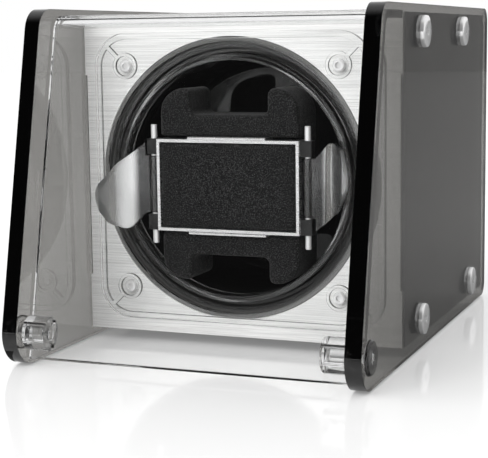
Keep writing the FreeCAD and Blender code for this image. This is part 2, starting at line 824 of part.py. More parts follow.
def wing(side):
    """Curved tongue that leaves its pin outwards, curls forwards and climbs to its tip on the right side."""
    center_y = wing_pin_y - wing_curl_radius
    low = holder_z - block_height
    high = holder_z + block_height
    far = 2 * wing_curl_radius
    tip = math.radians(90 - wing_curl_angle)
    sheet = rod_z(low, high, wing_pin_x, center_y, wing_curl_radius + wing_thickness / 2)
    sheet = sheet.cut(rod_z(low, high, wing_pin_x, center_y, wing_curl_radius - wing_thickness / 2))
    sector = Part.makePolygon([
        at(wing_pin_x, center_y, low),
        at(wing_pin_x + far * math.cos(tip), center_y + far * math.sin(tip), low),
        at(wing_pin_x + far, center_y + far, low),
        at(wing_pin_x, center_y + far, low),
        at(wing_pin_x, center_y, low),
    ])
    sheet = sheet.common(Part.Face(sector).extrude(at(0, 0, high - low)))
    outline = [
        (0, -wing_knuckle_half, 0),
        (wing_heel_reach, -wing_knuckle_half, 0),
        (wing_heel_reach, wing_heel_height, 0),
        (wing_waist_reach, wing_waist_height, wing_waist_radius),
        (wing_tip_reach, wing_tip_height, wing_tip_radius),
        (wing_crest_reach, wing_crest_height, wing_crest_radius),
        (wing_shoulder_reach, wing_shoulder_height, wing_shoulder_radius),
        (wing_heel_reach, wing_knuckle_half, 0),
        (0, wing_knuckle_half, 0),
    ]
    prism = front_profile([(wing_pin_x + u, holder_z + v, radius) for u, v, radius in outline],
                          center_y, center_y + far)
    knuckle = rod_z(holder_z - wing_knuckle_half, holder_z + wing_knuckle_half, wing_pin_x, wing_pin_y,
                    wing_knuckle_radius)
    tongue = sheet.common(prism).fuse(knuckle).cut(wing_pin(1, wing_pin_radius + fit_gap))
    if side < 0:
        tongue.rotate(at(0, 0, holder_z), Y_AXIS, 180)
    return tongue


def main():
    os.makedirs("parts", exist_ok=True)
    for side in (-1, 1):
        export("side_panel_" + side_name(side), side_panel(side))
        export("panel_screws_" + side_name(side), *[disc_screw(side, y, z) for y, z in panel_screw_places])
        export("hinge_pin_" + side_name(side), hinge_pin(side))
        export("wing_" + side_name(side), wing(side))
    export("body_shell", body_shell())
    export("rear_cover", rear_cover())
    export("rear_cover_screws",
           *[button_screw(x, rear_face_y, z, Y_AXIS, rear_screw_grip) for x, z in rear_post_places])
    export("front_plate", front_plate())
    export("clear_bezel", clear_bezel())
    export("bezel_screws",
           *[button_screw(x, bezel_y, z, Y_AXIS * -1, bezel_screw_grip) for x, z in bezel_screw_places])
    export("well_collar", well_collar())
    export("rotor_cup", rotor_cup())
    export("rotor_ring", rotor_ring())
    export("rotor_shaft", rotor_shaft())
    export("bulkhead", bulkhead())
    export("shaft_bushes", *shaft_bushes())
    export("rotor_gear", rotor_gear())
    export("gear_clip", gear_clip())
    export("motor_pinion", motor_pinion())
    export("motor_bracket", motor_bracket())
    export("motor", motor())
    export("motor_screws", *motor_screws())
    export("control_board", control_board())
    export("selector_body", selector_body())
    export("board_spacers", *board_spacers())
    export("turns_knob", turns_knob())
    export("switch_housing", switch_housing())
    export("direction_switch", direction_switch())
    export("power_jack", power_jack())
    export("front_cover", front_cover())
    export("holder_frame", holder_frame())
    export("front_pad", front_pad())
    export("strap_bars", *strap_bars())
    export("rear_cushion", rear_cushion())
    export("holder_peg", holder_peg())
    export("holder_base", holder_base())
    export("wing_pins", wing_pin(-1, wing_pin_radius), wing_pin(1, wing_pin_radius))


main()
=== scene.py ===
import json
import math

import bmesh
import bpy
from mathutils import Matrix, Vector


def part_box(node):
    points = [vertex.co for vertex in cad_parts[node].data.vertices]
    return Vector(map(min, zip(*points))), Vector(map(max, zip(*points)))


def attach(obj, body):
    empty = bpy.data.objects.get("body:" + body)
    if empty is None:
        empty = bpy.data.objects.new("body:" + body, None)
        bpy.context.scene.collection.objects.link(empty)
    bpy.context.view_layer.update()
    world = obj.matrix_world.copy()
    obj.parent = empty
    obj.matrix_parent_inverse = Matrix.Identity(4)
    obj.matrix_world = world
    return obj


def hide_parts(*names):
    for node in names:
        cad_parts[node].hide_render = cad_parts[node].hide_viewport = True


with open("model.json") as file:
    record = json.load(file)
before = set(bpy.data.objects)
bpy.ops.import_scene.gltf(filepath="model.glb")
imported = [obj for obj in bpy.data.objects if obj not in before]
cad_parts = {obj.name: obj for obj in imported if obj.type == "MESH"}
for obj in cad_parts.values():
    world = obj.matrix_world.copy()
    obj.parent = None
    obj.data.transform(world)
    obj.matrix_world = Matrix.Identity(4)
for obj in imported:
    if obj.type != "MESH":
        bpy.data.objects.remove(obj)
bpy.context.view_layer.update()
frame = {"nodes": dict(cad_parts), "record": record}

bl_info = {
    "name": "Watch Winder Box",
    "version": (1, 0, 0),
    "blender": (4, 5, 0),
    "location": "View3D > Sidebar > Winder",
    "description": "Dresses the watch winder box with its finishes, pads, screws and studio",
    "category": "Object",
}

MM = 0.001
ACRYLIC_IOR = 1.49
MERGE_GAP = 0.002 * MM
WHITE = (1.0, 1.0, 1.0, 1.0)
LAMP_AIM = (0.0, -0.05, 0.06)
MASK_LOW = 0.3
MASK_HIGH = 0.7
SCREW_TURN = 0.9
FLAT_ANGLE = math.radians(0.5)
SHARP_ANGLE = math.radians(30)
BODY_OF = {node: body for body, nodes in frame["record"]["behaviour"]["bodies"].items() for node in nodes}
ROTOR_AXIS_Z = 0.5 * (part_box("rotor_ring")[0][2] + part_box("rotor_ring")[1][2])


class WinderSizes(bpy.types.PropertyGroup):
    sheet_edge: bpy.props.FloatProperty(
        name="Sheet edge", description="Polished edge of the acrylic sheets", default=0.00035, unit="LENGTH")
    bezel_edge: bpy.props.FloatProperty(
        name="Bezel edge", description="Full rounding of the moulded bezel's rim", default=0.0008,
        unit="LENGTH")
    trim_edge: bpy.props.FloatProperty(
        name="Trim edge", description="Soft edge of metal and moulded trim", default=0.0002, unit="LENGTH")
    air_gap: bpy.props.FloatProperty(
        name="Air gap", description="Film of air between a clear sheet and what it lies on", default=0.00006,
        unit="LENGTH")
    pad_crown: bpy.props.FloatProperty(
        name="Pad crown", description="How far the middle of the front pad stands proud", default=0.0005,
        unit="LENGTH")
    pad_edge: bpy.props.FloatProperty(
        name="Pad edge", description="Rounding of the front pad's edge", default=0.0013, unit="LENGTH")
    cushion_voxel: bpy.props.FloatProperty(
        name="Cushion voxel", description="Cell of the rear cushion's skin", default=0.0007, unit="LENGTH")
    screw_sides: bpy.props.IntProperty(
        name="Screw sides", description="Sides of each round screw head, a multiple of six", default=48,
        min=12)
    round_sides: bpy.props.IntProperty(
        name="Round sides", description="Sides of the large turned rings", default=192, min=48)


class WinderColours(bpy.types.PropertyGroup):
    smoke: bpy.props.FloatVectorProperty(
        name="Smoked sheet", description="Tint of the side panels", subtype="COLOR", size=3,
        default=(0.25, 0.245, 0.235))
    smoke_edge: bpy.props.FloatVectorProperty(
        name="Smoked edge", description="Tint along the panels' cut edges", subtype="COLOR", size=3,
        default=(0.012, 0.012, 0.012))
    # Painted light: the collar lip's grey stands in for light showing through the clear ring there.
    lip: bpy.props.FloatVectorProperty(
        name="Collar lip", description="Smoked grey of the collar's outer lip", subtype="COLOR", size=3,
        default=(0.2, 0.2, 0.195))
    clear: bpy.props.FloatVectorProperty(
        name="Clear sheet", description="Tint of the cover, bezel, ring, wings and hinge pins",
        subtype="COLOR", size=3, default=(0.992, 0.995, 0.995))
    aluminium: bpy.props.FloatVectorProperty(
        name="Aluminium", description="Brushed plate", subtype="COLOR", size=3, default=(0.88, 0.88, 0.87))
    suede: bpy.props.FloatVectorProperty(
        name="Suede", description="Pads and cushion", subtype="COLOR", size=3, default=(0.01, 0.01, 0.01))
    gloss: bpy.props.FloatVectorProperty(
        name="Gloss black", description="Turning cup", subtype="COLOR", size=3, default=(0.004, 0.004, 0.004))
    silver: bpy.props.FloatVectorProperty(
        name="Silver trim", description="Holder frame and bars", subtype="COLOR", size=3,
        default=(0.78, 0.78, 0.78))
    chrome: bpy.props.FloatVectorProperty(
        name="Screws", description="Polished screws and pins", subtype="COLOR", size=3,
        default=(0.83, 0.83, 0.83))


def sizes():
    return bpy.context.scene.winder_sizes


def colours():
    return bpy.context.scene.winder_colours


def rgba(colour):
    return (colour[0], colour[1], colour[2], 1.0)


def named_tree(name, kind, inputs, outputs):
    """A new node tree with its named sockets, and its input and output nodes."""
    tree = bpy.data.node_groups.new(name, kind)
    for direction, sockets in (("INPUT", inputs), ("OUTPUT", outputs)):
        for socket, form in sockets.items():
            tree.interface.new_socket(socket, in_out=direction, socket_type="NodeSocket" + form)
    return tree, tree.nodes.new("NodeGroupInput"), tree.nodes.new("NodeGroupOutput")


def operated(tree, kind, operation, *values):
    """A Math or Vector Math node; each value is a socket to link or a plain value to set."""
    node = tree.nodes.new(kind)
    node.operation = operation
    for slot, value in enumerate(values):
        if isinstance(value, bpy.types.NodeSocket):
            tree.links.new(value, node.inputs[slot])
        else:
            node.inputs[slot].default_value = value
    return node


def number(tree, operation, *values):
    return operated(tree, "ShaderNodeMath", operation, *values).outputs["Value"]


def scaled_by(tree, direction, factors):
    return operated(tree, "ShaderNodeVectorMath", "MULTIPLY", direction, factors).outputs["Vector"]


def measured(tree, operation, *values):
    """The length of a vector, or the dot product of two."""
    return operated(tree, "ShaderNodeVectorMath", operation, *values).outputs["Value"]


def ranged(tree, value, start, end, low, high, form="SMOOTHSTEP"):
    """The value between start and end, spread from low to high."""
    ramp = tree.nodes.new("ShaderNodeMapRange")
    ramp.interpolation_type = form
    ramp.inputs["From Min"].default_value = start
    ramp.inputs["From Max"].default_value = end
    ramp.inputs["To Min"].default_value = low
    ramp.inputs["To Max"].default_value = high
    tree.links.new(value, ramp.inputs["Value"])
    return ramp.outputs["Result"]


def placed_at(tree, output="Object"):
    return tree.nodes.new("ShaderNodeTexCoord").outputs[output]


def noise(tree, place, scale, detail):
    """A noise texture's value; the scale is a socket to link or a plain number."""
    node = tree.nodes.new("ShaderNodeTexNoise")
    node.inputs["Detail"].default_value = detail
    tree.links.new(place, node.inputs["Vector"])
    if isinstance(scale, bpy.types.NodeSocket):
        tree.links.new(scale, node.inputs["Scale"])
    else:
        node.inputs["Scale"].default_value = scale
    return node.outputs["Fac"]


def sideways(tree, direction):
    """How far a place or a normal lies to either side, left or right alike."""
    parts = tree.nodes.new("ShaderNodeSeparateXYZ")
    tree.links.new(direction, parts.inputs["Vector"])
    return number(tree, "ABSOLUTE", parts.outputs["X"])


def grain_group():
    """Fine uneven grain: a bump height and a slow patchy mask."""
    name = "Winder grain"
    if name in bpy.data.node_groups:
        return bpy.data.node_groups[name]
    group, entry, leave = named_tree(
        name, "ShaderNodeTree", {"Grain Scale": "Float", "Patch Scale": "Float"},
        {"Height": "Float", "Patches": "Float"})
    place = placed_at(group)
    fine = noise(group, place, entry.outputs["Grain Scale"], detail=3.0)
    slow = noise(group, place, entry.outputs["Patch Scale"], detail=4.0)
    group.links.new(fine, leave.inputs["Height"])
    group.links.new(slow, leave.inputs["Patches"])
    return group


def brush_group():
    """Level brush lines along X, as streaks for colour, roughness and height."""
    name = "Winder brush"
    if name in bpy.data.node_groups:
        return bpy.data.node_groups[name]
    group, entry, leave = named_tree(
        name, "ShaderNodeTree", {"Line Length": "Float", "Line Pitch": "Float"}, {"Streaks": "Float"})
    stretch = group.nodes.new("ShaderNodeCombineXYZ")
    group.links.new(entry.outputs["Line Length"], stretch.inputs["X"])
    group.links.new(entry.outputs["Line Pitch"], stretch.inputs["Y"])
    group.links.new(entry.outputs["Line Pitch"], stretch.inputs["Z"])
    scaled = scaled_by(group, placed_at(group), stretch.outputs["Vector"])
    group.links.new(noise(group, scaled, scale=1.0, detail=4.0), leave.inputs["Streaks"])
    return group


def edge_group():
    """Sheet tint: one colour through the broad faces and a deep one along the cut edges."""
    name = "Winder sheet edge"
    if name in bpy.data.node_groups:
        return bpy.data.node_groups[name]
    group, entry, leave = named_tree(
        name, "ShaderNodeTree", {"Face": "Color", "Edge": "Color"}, {"Color": "Color"})
    blend = group.nodes.new("ShaderNodeMix")
    blend.data_type = "RGBA"
    group.links.new(sideways(group, placed_at(group, "Normal")), blend.inputs["Factor"])
    group.links.new(entry.outputs["Edge"], blend.inputs["A"])
    group.links.new(entry.outputs["Face"], blend.inputs["B"])
    group.links.new(blend.outputs["Result"], leave.inputs["Color"])
    return group


class Finish:
    """One material in the making: its Principled shader and the steps that dress it."""

    def __init__(self, name, colour, roughness):
        self.material = bpy.data.materials.new(name)
        self.material.use_nodes = True
        self.tree = self.material.node_tree
        self.shader = self.tree.nodes["Principled BSDF"]
        self.colour = rgba(colour)
        self.set(**{"Base Color": self.colour, "Roughness": roughness})

    def set(self, **values):
        for socket, value in values.items():
            self.shader.inputs[socket].default_value = value

    def link(self, out, into):
        self.tree.links.new(out, into)

    def placed(self, group, **values):
        node = self.tree.nodes.new("ShaderNodeGroup")
        node.node_tree = group
        for socket, value in values.items():
            node.inputs[socket].default_value = value
        return node

    def spread(self, out, low, high, socket):
        """Feeds a mask to a socket, its middle range spread from low to high."""
        value = ranged(self.tree, out, MASK_LOW, MASK_HIGH, low, high, "LINEAR")
        self.link(value, self.shader.inputs[socket])

    def shade(self, out, dark, light, start=MASK_LOW, end=MASK_HIGH):
        """Shades the base colour from dark to light as a mask goes from start to end."""
        ramp = self.tree.nodes.new("ShaderNodeValToRGB")
        ramp.color_ramp.elements[0].position = start
        ramp.color_ramp.elements[1].position = end
        ramp.color_ramp.elements[0].color = [c * dark for c in self.colour[:3]] + [1.0]
        ramp.color_ramp.elements[1].color = [min(1.0, c * light) for c in self.colour[:3]] + [1.0]
        self.link(out, ramp.inputs["Fac"])
        self.link(ramp.outputs["Color"], self.shader.inputs["Base Color"])

    def lets_light_in(self):
        """Clear to shadows and to matt surfaces behind it, and a true sheet to the eye."""
        path = self.tree.nodes.new("ShaderNodeLightPath").outputs
        light = number(self.tree, "MAXIMUM", path["Is Shadow Ray"], path["Is Diffuse Ray"])
        self.link(number(self.tree, "SUBTRACT", 1.0, light), self.shader.inputs["Alpha"])

    def painted_rim_shade(self, dark):
        """Painted shade: darkens a clear moulding's colour where its surface turns away from the eye. It
        stands in for the dark rim that light bending in the thick edge gives.
        """
        turn = self.tree.nodes.new("ShaderNodeLayerWeight")
        turn.inputs["Blend"].default_value = 0.35
        self.shade(turn.outputs["Facing"], 1.0, dark, start=0.12, end=0.4)

    def bump(self, out, strength, distance):
        node = self.tree.nodes.new("ShaderNodeBump")
        node.inputs["Strength"].default_value = strength
        node.inputs["Distance"].default_value = distance
        self.link(out, node.inputs["Height"])
        self.link(node.outputs["Normal"], self.shader.inputs["Normal"])


def kept(name, make):
    """The material of that name, made on first use."""
    found = bpy.data.materials.get(name)
    return found if found else make(name)


def sheet_finish(name, tint, rough_low, rough_high, edges=0.6):
    finish = Finish(name, tint, rough_low)
    # Painted shade: the colour darkens to the edges factor where the sheet turns away from the eye.
    finish.painted_rim_shade(edges)
    finish.set(**{"Transmission Weight": 1.0, "IOR": ACRYLIC_IOR})
    grain = finish.placed(grain_group(), **{"Grain Scale": 900.0, "Patch Scale": 45.0})
    finish.spread(grain.outputs["Patches"], rough_low, rough_high, "Roughness")
    finish.lets_light_in()
    return finish.material


def smoked_sheet():
    def make(name):
        finish = Finish(name, colours().smoke, roughness=0.02)
        finish.set(**{"Transmission Weight": 1.0, "IOR": ACRYLIC_IOR})
        grain = finish.placed(grain_group(), **{"Grain Scale": 900.0, "Patch Scale": 45.0})
        finish.spread(grain.outputs["Patches"], low=0.015, high=0.03, socket="Roughness")
        edge = finish.placed(edge_group())
        edge.inputs["Face"].default_value = rgba(colours().smoke)
        edge.inputs["Edge"].default_value = rgba(colours().smoke_edge)
        finish.link(edge.outputs["Color"], finish.shader.inputs["Base Color"])
        return finish.material
    return kept("Smoked sheet", make)


def clear_sheet():
    return kept("Clear sheet", lambda name: sheet_finish(
        name, colours().clear, rough_low=0.0, rough_high=0.012))


def clear_moulding():
    # The mouldings get a deep painted rim shade, down to 0.12 of their colour.
    return kept("Clear moulding", lambda name: sheet_finish(
        name, colours().clear, rough_low=0.02, rough_high=0.06, edges=0.12))


def wing_plastic():
    def make(name):
        finish = Finish(name, colours().clear, roughness=0.03)
        finish.set(**{"Transmission Weight": 1.0, "IOR": ACRYLIC_IOR, "Metallic": 0.55})
        finish.lets_light_in()
        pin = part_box("wing_pins")[1][0]
        root_end = pin + 4.0 * MM
        pale_start = pin + 7.5 * MM
        frost_start = pin + 6.0 * MM
        frost_end = pin + 20.0 * MM
        # Painted shade and reflection: the colour runs dark at the wing's root and pale farther out. This
        # stands in for the dark cup seen through the root and the bright surroundings shining on the outer
        # part.
        reach = sideways(finish.tree, placed_at(finish.tree))
        grip = ranged(finish.tree, reach, root_end, pale_start, low=0.0, high=1.0)
        frost = ranged(finish.tree, reach, frost_start, frost_end, low=0.05, high=0.42)
        finish.link(frost, finish.shader.inputs["Roughness"])
        finish.shade(grip, dark=0.1, light=0.98, start=0.0, end=1.0)
        return finish.material
    return kept("Wing plastic", make)


def brushed_plate():
    def make(name):
        finish = Finish(name, colours().aluminium, roughness=0.38)
        finish.set(**{"Metallic": 0.15})
        brush = finish.placed(brush_group(), **{"Line Length": 35.0, "Line Pitch": 2600.0})
        finish.shade(brush.outputs["Streaks"], dark=0.74, light=1.1)
        finish.spread(brush.outputs["Streaks"], low=0.3, high=0.5, socket="Roughness")
        finish.bump(brush.outputs["Streaks"], strength=0.12, distance=0.0001)
        return finish.material
    return kept("Brushed plate", make)


def polished_metal():
    def make(name):
        finish = Finish(name, colours().chrome, roughness=0.12)
        finish.set(**{"Metallic": 0.55})
        grain = finish.placed(grain_group(), **{"Grain Scale": 1500.0, "Patch Scale": 250.0})
        finish.spread(grain.outputs["Patches"], low=0.08, high=0.2, socket="Roughness")
        finish.shade(grain.outputs["Patches"], dark=0.93, light=1.05)
        return finish.material
    return kept("Polished metal", make)


def satin_chrome():
    def make(name):
        finish = Finish(name, colours().chrome, roughness=0.2)
        finish.set(**{"Metallic": 0.4})
        grain = finish.placed(grain_group(), **{"Grain Scale": 2400.0, "Patch Scale": 400.0})
        finish.spread(grain.outputs["Patches"], low=0.16, high=0.26, socket="Roughness")
        finish.shade(grain.outputs["Patches"], dark=0.95, light=1.08)
        return finish.material
    return kept("Satin chrome", make)


def silver_trim():
    def make(name):
        finish = Finish(name, colours().silver, roughness=0.25)
        finish.set(**{"Metallic": 0.9})
        brush = finish.placed(brush_group(), **{"Line Length": 120.0, "Line Pitch": 3000.0})
        finish.spread(brush.outputs["Streaks"], low=0.16, high=0.34, socket="Roughness")
        finish.shade(brush.outputs["Streaks"], dark=0.92, light=1.06)
        return finish.material
    return kept("Silver trim", make)


def black_suede():
    def make(name):
        finish = Finish(name, colours().suede, roughness=0.9)
        finish.set(**{"Specular IOR Level": 0.25, "Sheen Weight": 0.12, "Sheen Roughness": 0.45,
                      "Sheen Tint": (0.7, 0.7, 0.7, 1.0)})
        nap = finish.placed(grain_group(), **{"Grain Scale": 2200.0, "Patch Scale": 420.0})
        finish.shade(nap.outputs["Height"], dark=0.4, light=5.0, start=0.49, end=0.68)
        finish.spread(nap.outputs["Patches"], low=0.82, high=0.97, socket="Roughness")
        finish.bump(nap.outputs["Height"], strength=0.7, distance=0.0004)
        return finish.material
    return kept("Black suede", make)


def gloss_black():
    def make(name):
        finish = Finish(name, colours().gloss, roughness=0.1)
        finish.set(**{"Specular IOR Level": 0.3})
        grain = finish.placed(grain_group(), **{"Grain Scale": 400.0, "Patch Scale": 60.0})
        finish.spread(grain.outputs["Patches"], low=0.03, high=0.07, socket="Roughness")
        finish.bump(grain.outputs["Patches"], strength=0.01, distance=0.0002)
        return finish.material
    return kept("Gloss black", make)


def collar_gloss():
    """Gloss black that turns to grey on the collar's outer lip: painted light that stands in for light
    showing through the clear ring there.
    """
    def make(name):
        finish = Finish(name, colours().lip, roughness=0.06)
        low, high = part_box("well_collar")
        lip = 0.5 * (high[0] - low[0]) - 5.0 * MM
        centred = finish.tree.nodes.new("ShaderNodeMapping")
        centred.inputs["Location"].default_value = (0.0, 0.0, -ROTOR_AXIS_Z)
        finish.link(placed_at(finish.tree), centred.inputs["Vector"])
        across = scaled_by(finish.tree, centred.outputs["Vector"], (1.0, 0.0, 1.0))
        radius = measured(finish.tree, "LENGTH", across)
        # Painted light: grey beyond the lip's radius and gloss black inside it.
        finish.shade(radius, dark=0.05, light=1.0, start=lip - 1.2 * MM, end=lip + 0.6 * MM)
        return finish.material
    return kept("Collar gloss", make)


def moulded_plastic(name, colour, roughness):
    finish = Finish(name, colour, roughness)
    grain = finish.placed(grain_group(), **{"Grain Scale": 1900.0, "Patch Scale": 70.0})
    finish.shade(grain.outputs["Patches"], dark=0.85, light=1.15)
    finish.spread(grain.outputs["Patches"], roughness - 0.07, roughness + 0.07, "Roughness")
    finish.bump(grain.outputs["Height"], strength=0.18, distance=0.00015)
    return finish.material


def satin_black():
    return kept("Satin black", lambda name: moulded_plastic(name, (0.014, 0.014, 0.014), roughness=0.42))


def pale_plastic():
    return kept("Pale plastic", lambda name: moulded_plastic(name, (0.72, 0.7, 0.65), roughness=0.4))


def board_lacquer():
    return kept("Board lacquer", lambda name: moulded_plastic(name, (0.02, 0.14, 0.06), roughness=0.32))


def worked_metal(name, colour, roughness):
    finish = Finish(name, colour, roughness)
    finish.set(**{"Metallic": 1.0})
    brush = finish.placed(brush_group(), **{"Line Length": 300.0, "Line Pitch": 1600.0})
    finish.spread(brush.outputs["Streaks"], roughness - 0.08, roughness + 0.1, "Roughness")
    finish.shade(brush.outputs["Streaks"], dark=0.88, light=1.08)
    return finish.material


def steel():
    return kept("Steel", lambda name: worked_metal(name, (0.56, 0.56, 0.57), roughness=0.3))


def bronze():
    return kept("Bronze", lambda name: worked_metal(name, (0.56, 0.37, 0.17), roughness=0.38))


def dressed(node, material):
    """A CAD node that keeps its own solid and takes a finish."""
    mesh = frame["nodes"][node].data
    mesh.materials.clear()
    mesh.materials.append(material)


def add_piece(name, mesh, material, *nodes):
    """Shows a finished mesh in place of the nodes, riding on their body."""
    mesh.materials.clear()
    mesh.materials.append(material)
    piece = shown(name, mesh)
    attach(piece, BODY_OF[nodes[0]])
    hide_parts(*nodes)
    return piece


def smooth_by_angle(mesh, degrees):
    for face in mesh.polygons:
        face.use_smooth = True
    mesh.set_sharp_from_angle(angle=math.radians(degrees))


def merged_skin(node):
    """A copy of a node's loose triangles, merged."""
    skin = bmesh.new()
    skin.from_mesh(frame["nodes"][node].data)
    bmesh.ops.remove_doubles(skin, verts=skin.verts, dist=MERGE_GAP)
    return skin


def whole_skin(node):
    """A node's triangles merged into one skin, with its flat faces whole again."""
    skin = merged_skin(node)
    bmesh.ops.dissolve_limit(skin, angle_limit=FLAT_ANGLE, verts=skin.verts, edges=skin.edges)
    return skin


def mesh_of(skin, name):
    """Turns a finished skin into a mesh and frees the skin."""
    mesh = bpy.data.meshes.new(name)
    skin.to_mesh(mesh)
    skin.free()
    return mesh


def shown(name, data):
    """A new object in the scene with that mesh, lamp or camera."""
    thing = bpy.data.objects.new(name, data)
    bpy.context.scene.collection.objects.link(thing)
    return thing


def plain_mesh(shape):
    """The mesh that an object's modifiers give, with the object removed."""
    graph = bpy.context.evaluated_depsgraph_get()
    mesh = bpy.data.meshes.new_from_object(shape.evaluated_get(graph))
    bpy.data.objects.remove(shape)
    return mesh


def true_flats(mesh):
    """The same mesh, smooth, with the normals of its broad flat faces kept true."""
    smooth_by_angle(mesh, degrees=50)
    shape = shown(mesh.name, mesh)
    weigh = shape.modifiers.new("Weigh", "WEIGHTED_NORMAL")
    weigh.mode = "FACE_AREA"
    weigh.weight = 100
    weigh.keep_sharp = True
    weighed = plain_mesh(shape)
    bpy.data.meshes.remove(mesh)
    return weighed


def eased(node, material, width, segments=3, shift=(0.0, 0.0, 0.0)):
    """A node with its sharp edges softened by a narrow bevel, lifted off what it lies on by the shift."""
    skin = whole_skin(node)
    sharp = [edge for edge in skin.edges if edge.calc_face_angle(0.0) > SHARP_ANGLE]
    bmesh.ops.bevel(skin, geom=sharp, offset=width, segments=segments, profile=0.5, affect="EDGES",
                    clamp_overlap=True)
    bmesh.ops.translate(skin, verts=skin.verts, vec=shift)
    mesh = true_flats(mesh_of(skin, node + "_eased"))
    return add_piece(node + "_eased", mesh, material, node)


def turned(node, profile, material):
    """A ring turned about the rotor axis from a closed profile of (radius, y) points."""
    sides = sizes().round_sides
    skin = bmesh.new()
    rings = []
    for k in range(sides):
        turn = 2 * math.pi * k / sides
        rings.append([skin.verts.new((radius * math.sin(turn), y, ROTOR_AXIS_Z + radius * math.cos(turn)))
                      for radius, y in profile])
    count = len(profile)
    for k in range(sides):
        here = rings[k]
        there = rings[(k + 1) % sides]
        for i in range(count):
            j = (i + 1) % count
            skin.faces.new((here[i], here[j], there[j], there[i]))
    bmesh.ops.recalc_face_normals(skin, faces=skin.faces)
    mesh = mesh_of(skin, node + "_turned")
    smooth_by_angle(mesh, degrees=40)
    add_piece(node + "_turned", mesh, material, node)


def eased_profile(corners, radius, steps=4):
    """A closed (radius, y) outline with each corner rounded."""
    corner_share = 0.45
    points = []
    count = len(corners)
    for k in range(count):
        corner = Vector(corners[k])
        before = Vector(corners[k - 1]) - corner
        after = Vector(corners[(k + 1) % count]) - corner
        cut = min(radius, corner_share * before.length, corner_share * after.length)
        start = corner + before.normalized() * cut
        end = corner + after.normalized() * cut
        for i in range(steps + 1):
            t = i / steps
            points.append((1 - t) * (1 - t) * start + 2 * t * (1 - t) * corner + t * t * end)
    return [(point.x, point.y) for point in points]


class WINDER_OT_panels(bpy.types.Operator):
    """Polish the smoked side panels"""
    bl_idname = "winder.panels"
    bl_label = "Side Panels"

    def execute(self, context):
        off = sizes().air_gap
        eased("side_panel_left", smoked_sheet(), sizes().sheet_edge, shift=(-off, 0.0, 0.0))
        eased("side_panel_right", smoked_sheet(), sizes().sheet_edge, shift=(off, 0.0, 0.0))
        return {"FINISHED"}


class WINDER_OT_cover(bpy.types.Operator):
    """Polish the clear front cover"""
    bl_idname = "winder.cover"
    bl_label = "Front Cover"

    def execute(self, context):
        eased("front_cover", clear_sheet(), sizes().sheet_edge)
        return {"FINISHED"}


class WINDER_OT_front(bpy.types.Operator):
    """Brush the plate and finish the clear bezel and the dark box"""
    bl_idname = "winder.front"
    bl_label = "Plate, Bezel and Box"

    def execute(self, context):
        eased("front_plate", brushed_plate(), sizes().trim_edge)
        eased("clear_bezel", clear_moulding(), sizes().bezel_edge, shift=(0.0, -sizes().air_gap, 0.0))
        dressed("body_shell", satin_black())
        return {"FINISHED"}


class WINDER_OT_rotor(bpy.types.Operator):
    """Turn the stepped collar, the clear ring and the black cup"""
    bl_idname = "winder.rotor"
    bl_label = "Collar, Ring and Cup"

    def execute(self, context):
        self.ring()
        self.collar()
        self.cup()
        return {"FINISHED"}

    def ring(self):
        low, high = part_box("rotor_ring")
        outer = 0.5 * (high[0] - low[0])
        inner = outer - 2.5 * MM
        back = high[1] - sizes().air_gap
        outline = [(inner, low[1]), (outer, low[1]), (outer, back), (inner, back)]
        turned("rotor_ring", eased_profile(outline, radius=0.7 * MM), clear_moulding())

    def collar(self):
        low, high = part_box("well_collar")
        front = low[1]
        flange = 0.5 * (high[0] - low[0])
        flange_front = front + 2.0 * MM
        flange_back = front + 4.0 * MM
        outer = flange - 4.0 * MM
        lip = outer - 1.8 * MM
        step = outer - 4.3 * MM
        bore = outer - 6.0 * MM
        step_front = front + 2.5 * MM
        bore_front = front + 5.0 * MM
        outline = [
            (outer, front), (outer, flange_front), (flange, flange_front), (flange, flange_back),
            (outer, flange_back), (outer, high[1]), (bore, high[1]), (bore, bore_front), (step, bore_front),
            (step, step_front), (lip, step_front), (lip, front),
        ]
        turned("well_collar", eased_profile(outline, radius=0.35 * MM), collar_gloss())

    def cup(self):
        low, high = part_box("rotor_cup")
        front = low[1]
        outer = 0.5 * (high[0] - low[0])
        inner = outer - 1.8 * MM
        boss = 10.0 * MM
        shaft = 4.05 * MM
        centre = 0.5 * MM
        back = high[1] - 7.0 * MM
        shaft_end = back - 0.05 * MM
        floor = back - 3.0 * MM
        outline = [
            (outer, front), (outer, back), (boss, back), (boss, high[1]), (shaft, high[1]),
            (shaft, shaft_end), (centre, shaft_end), (centre, floor), (inner - 4.0 * MM, floor),
            (inner - 1.2 * MM, back - 4.2 * MM), (inner, back - 7.0 * MM), (inner, front),
        ]
        turned("rotor_cup", eased_profile(outline, radius=0.5 * MM), gloss_black())


class WINDER_OT_holder(bpy.types.Operator):
    """Finish the silver frame, its bars, the wing pins and the holder's foot"""
    bl_idname = "winder.holder"
    bl_label = "Holder Frame"

    def execute(self, context):
        tray = eased("holder_frame", silver_trim(), sizes().trim_edge)
        self.darken_ears(tray.data)
        eased("strap_bars", silver_trim(), sizes().trim_edge)
        eased("wing_pins", polished_metal(), sizes().sheet_edge)
        dressed("holder_base", satin_black())
        dressed("holder_peg", satin_black())
        return {"FINISHED"}

    def darken_ears(self, mesh):
        """Blacks the ears outside the tray's two sides."""
        mesh.materials.append(satin_black())
        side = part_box("front_pad")[1][0] + 1.6 * MM
        for face in mesh.polygons:
            if abs(face.center.x) > side:
                face.material_index = 1


